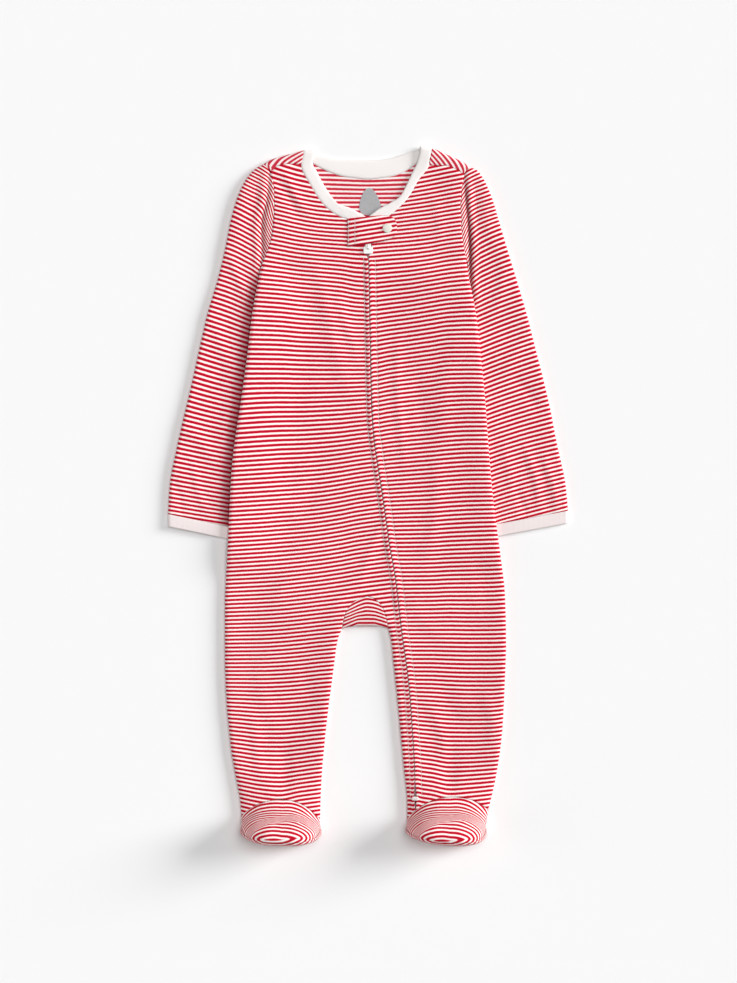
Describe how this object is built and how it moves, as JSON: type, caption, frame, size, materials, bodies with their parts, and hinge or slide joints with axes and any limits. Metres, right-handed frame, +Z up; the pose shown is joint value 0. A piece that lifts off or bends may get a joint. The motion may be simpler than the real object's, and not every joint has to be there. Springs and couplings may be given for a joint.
{
  "type": "footed baby sleepsuit",
  "caption": "Long-sleeved one-piece baby sleepsuit with closed feet, ribbed cuffs and neck binding, a front zip down to one ankle and a snapped zip guard, laid flat.",
  "frame": {"origin": "on the surface that the garment lies on, under the middle of its outline", "axes": "+Z up from that surface, +Y from the feet to the neck, +X to the wearer's left"},
  "size_m": [0.38, 0.664, 0.0472],
  "materials": {
    "jersey": "soft cotton jersey with narrow red and white stripes",
    "rib": "fine white cotton rib",
    "tape": "woven zip tape with white coil",
    "enamel": "white enamel, satin"
  },
  "bodies": {
    "garment": {"back": "jersey", "front_left": "jersey", "front_right": "jersey", "gusset": "jersey", "neck_binding": "rib", "sleeve_right": "jersey", "sleeve_left": "jersey", "cuff_right": "rib", "cuff_left": "rib", "foot_top_right": "jersey", "foot_top_left": "jersey", "foot_sole_right": "jersey", "foot_sole_left": "jersey", "zip_tape": "tape", "zip_slider": "enamel", "zip_guard": "jersey", "snap_cap": "enamel"},
    "pull": {"zip_pull": "enamel"}
  },
  "joints": [
    {"name": "pull_flip", "type": "hinge", "parent": "garment", "child": "pull", "pos_m": [0.0002, 0.2357, 0.0056], "axis": [-1, 0, 0], "range_deg": [0, 130]}
  ]
}
